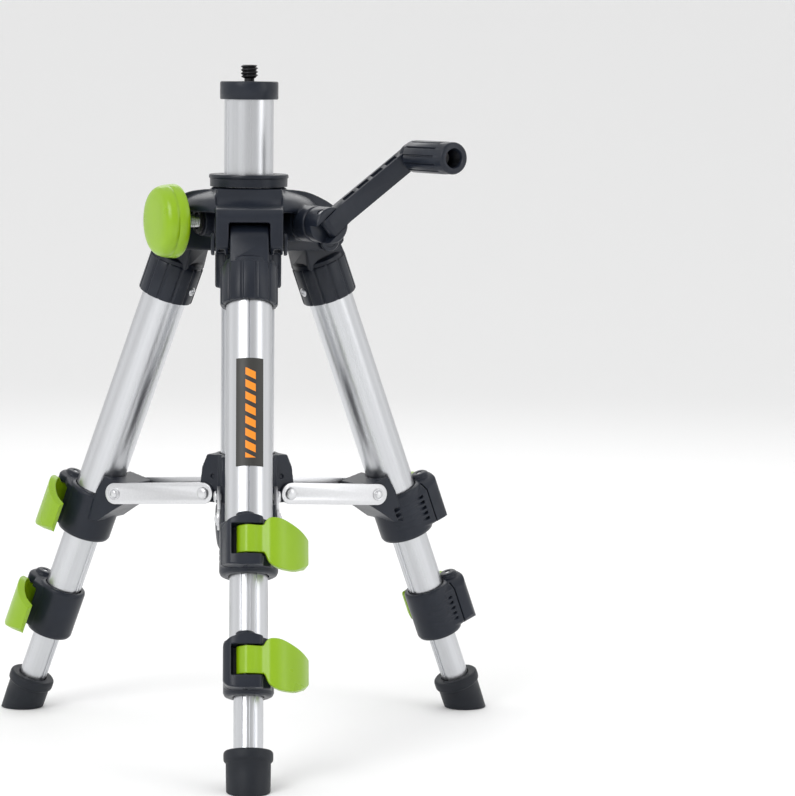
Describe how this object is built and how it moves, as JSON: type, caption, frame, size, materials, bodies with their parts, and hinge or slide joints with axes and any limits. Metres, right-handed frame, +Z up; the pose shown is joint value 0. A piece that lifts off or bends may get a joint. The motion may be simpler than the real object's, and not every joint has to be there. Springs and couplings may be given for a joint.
{
  "type": "mini_tripod",
  "caption": "Small bench tripod with crank-driven centre column, 1/4 inch stud, lever-locked telescopic legs and sliding spreader",
  "frame": {"origin": "on the floor under the middle of the footprint's bounding box", "axes": "+Z up, front leg along -Y, crank side +X"},
  "size_m": [0.1902, 0.1715, 0.2496],
  "materials": {
    "dark_plastic": "satin moulded dark blue-grey",
    "green_plastic": "satin lime green",
    "aluminium": "satin natural anodised tube",
    "bright_steel": "bright plated flat bar and rivets",
    "black_steel": "blackened thread",
    "rubber": "matt black foot"
  },
  "bodies": {
    "head": {"head_body": "dark_plastic", "column_collar": "dark_plastic", "guide_tube": "aluminium", "guide_socket": "dark_plastic", "end_stop": "dark_plastic", "lock_pad": "dark_plastic", "front_hinge_pin": "dark_plastic", "right_hinge_pin": "dark_plastic", "left_hinge_pin": "dark_plastic"},
    "column": {"column_tube": "aluminium", "column_rack": "black_steel", "column_cap": "dark_plastic", "mount_screw": "black_steel", "column_plug": "dark_plastic"},
    "crank": {"crank_shaft": "dark_plastic", "crank_arm_pin": "bright_steel"},
    "crank_arm": {"crank_arm": "dark_plastic", "grip_retainer": "bright_steel"},
    "grip": {"crank_grip": "dark_plastic"},
    "lock": {"lock_knob": "green_plastic", "lock_bolt": "bright_steel"},
    "hub": {"spreader_hub": "dark_plastic", "front_hub_rivet": "bright_steel", "right_hub_rivet": "bright_steel", "left_hub_rivet": "bright_steel"},
    "front_bars": {"front_bar_a": "bright_steel", "front_bar_b": "bright_steel"},
    "front_leg": {"front_knuckle": "dark_plastic", "front_upper_tube": "aluminium", "front_upper_clamp": "dark_plastic"},
    "front_middle": {"front_middle_tube": "aluminium", "front_lower_clamp": "dark_plastic"},
    "front_lower": {"front_lower_tube": "aluminium", "front_foot": "rubber"},
    "front_upper_lever": {"front_upper_lever": "green_plastic"},
    "front_lower_lever": {"front_lower_lever": "green_plastic"},
    "right_bars": {"right_bar_a": "bright_steel", "right_bar_b": "bright_steel"},
    "right_leg": {"right_knuckle": "dark_plastic", "right_upper_tube": "aluminium", "right_upper_clamp": "dark_plastic"},
    "right_middle": {"right_middle_tube": "aluminium", "right_lower_clamp": "dark_plastic"},
    "right_lower": {"right_lower_tube": "aluminium", "right_foot": "rubber"},
    "right_upper_lever": {"right_upper_lever": "green_plastic"},
    "right_lower_lever": {"right_lower_lever": "green_plastic"},
    "left_bars": {"left_bar_a": "bright_steel", "left_bar_b": "bright_steel"},
    "left_leg": {"left_knuckle": "dark_plastic", "left_upper_tube": "aluminium", "left_upper_clamp": "dark_plastic"},
    "left_middle": {"left_middle_tube": "aluminium", "left_lower_clamp": "dark_plastic"},
    "left_lower": {"left_lower_tube": "aluminium", "left_foot": "rubber"},
    "left_upper_lever": {"left_upper_lever": "green_plastic"},
    "left_lower_lever": {"left_lower_lever": "green_plastic"}
  },
  "joints": [
    {"name": "front_leg_fold", "type": "hinge", "parent": "head", "child": "front_leg", "pos_m": [0, -0.0027, 0.185], "axis": [1, 0, 0], "range_deg": [0, 19.5]},
    {"name": "right_leg_fold", "type": "hinge", "parent": "head", "child": "right_leg", "pos_m": [0.02356, 0.0381, 0.185], "axis": [-0.5, 0.866, 0], "range_deg": [0, 19.5]},
    {"name": "left_leg_fold", "type": "hinge", "parent": "head", "child": "left_leg", "pos_m": [-0.02356, 0.0381, 0.185], "axis": [-0.5, -0.866, 0], "range_deg": [0, 19.5]},
    {"name": "hub_slide", "type": "slide", "parent": "head", "child": "hub", "axis": [0, 0, 1], "range_m": [0, 0.0336]},
    {"name": "front_bar_swing", "type": "hinge", "parent": "hub", "child": "front_bars", "pos_m": [0, 0.0119, 0.0909], "axis": [1, 0, 0], "range_deg": [0, 79.5]},
    {"name": "right_bar_swing", "type": "hinge", "parent": "hub", "child": "right_bars", "pos_m": [0.01091, 0.0308, 0.0909], "axis": [-0.5, 0.866, 0], "range_deg": [0, 79.5]},
    {"name": "left_bar_swing", "type": "hinge", "parent": "hub", "child": "left_bars", "pos_m": [-0.01091, 0.0308, 0.0909], "axis": [-0.5, -0.866, 0], "range_deg": [0, 79.5]},
    {"name": "column_lift", "type": "slide", "parent": "head", "child": "column", "axis": [0, 0, 1], "range_m": [-0.0265, 0.072]},
    {"name": "crank_turn", "type": "hinge", "parent": "head", "child": "crank", "pos_m": [0.02039, 0.01318, 0.192], "axis": [0.5, -0.866, 0], "range_deg": [-1031.4, 379.7]},
    {"name": "crank_fold", "type": "hinge", "parent": "crank", "child": "crank_arm", "pos_m": [0.02914, -0.00198, 0.192], "axis": [0.5509, 0.318, -0.7716], "range_deg": [0, 90]},
    {"name": "grip_turn", "type": "hinge", "parent": "crank_arm", "child": "grip", "pos_m": [0.0604, 0.00453, 0.217], "axis": [0.5, -0.866, 0], "continuous": true},
    {"name": "lock_turn", "type": "hinge", "parent": "head", "child": "lock", "pos_m": [-0.02741, 0.0123, 0.1925], "axis": [-0.9135, -0.4067, 0], "continuous": true},
    {"name": "front_middle_slide", "type": "slide", "parent": "front_leg", "child": "front_middle", "axis": [0, -0.3665, -0.9304], "range_m": [-0.018, 0.065]},
    {"name": "front_lower_slide", "type": "slide", "parent": "front_middle", "child": "front_lower", "axis": [0, -0.3665, -0.9304], "range_m": [-0.018, 0.065]},
    {"name": "front_upper_lever_turn", "type": "hinge", "parent": "front_leg", "child": "front_upper_lever", "pos_m": [-0.0012, -0.05551, 0.08381], "axis": [0, -0.3665, -0.9304], "range_deg": [0, 110]},
    {"name": "front_lower_lever_turn", "type": "hinge", "parent": "front_middle", "child": "front_lower_lever", "pos_m": [-0.0012, -0.0696, 0.04368], "axis": [0, -0.3665, -0.9304], "range_deg": [0, 110]},
    {"name": "right_middle_slide", "type": "slide", "parent": "right_leg", "child": "right_middle", "axis": [0.3174, 0.1833, -0.9304], "range_m": [-0.018, 0.065]},
    {"name": "right_lower_slide", "type": "slide", "parent": "right_middle", "child": "right_lower", "axis": [0.3174, 0.1833, -0.9304], "range_m": [-0.018, 0.065]},
    {"name": "right_upper_lever_turn", "type": "hinge", "parent": "right_leg", "child": "right_upper_lever", "pos_m": [0.06989, 0.06347, 0.08381], "axis": [0.3174, 0.1833, -0.9304], "range_deg": [0, 110]},
    {"name": "right_lower_lever_turn", "type": "hinge", "parent": "right_middle", "child": "right_lower_lever", "pos_m": [0.08209, 0.07051, 0.04368], "axis": [0.3174, 0.1833, -0.9304], "range_deg": [0, 110]},
    {"name": "left_middle_slide", "type": "slide", "parent": "left_leg", "child": "left_middle", "axis": [-0.3174, 0.1833, -0.9304], "range_m": [-0.018, 0.065]},
    {"name": "left_lower_slide", "type": "slide", "parent": "left_middle", "child": "left_lower", "axis": [-0.3174, 0.1833, -0.9304], "range_m": [-0.018, 0.065]},
    {"name": "left_upper_lever_turn", "type": "hinge", "parent": "left_leg", "child": "left_upper_lever", "pos_m": [-0.06869, 0.06554, 0.08381], "axis": [-0.3174, 0.1833, -0.9304], "range_deg": [0, 110]},
    {"name": "left_lower_lever_turn", "type": "hinge", "parent": "left_middle", "child": "left_lower_lever", "pos_m": [-0.08089, 0.07259, 0.04368], "axis": [-0.3174, 0.1833, -0.9304], "range_deg": [0, 110]}
  ],
  "couplings": [
    {"joint": "right_leg_fold", "follows": "front_leg_fold", "ratio": 1},
    {"joint": "left_leg_fold", "follows": "front_leg_fold", "ratio": 1},
    {"joint": "hub_slide", "follows": "front_leg_fold", "m_per_rad": 0.09726},
    {"joint": "front_bar_swing", "follows": "front_leg_fold", "ratio": 4.0288},
    {"joint": "right_bar_swing", "follows": "front_leg_fold", "ratio": 4.0288},
    {"joint": "left_bar_swing", "follows": "front_leg_fold", "ratio": 4.0288},
    {"joint": "crank_turn", "follows": "column_lift", "rad_per_m": -250}
  ]
}
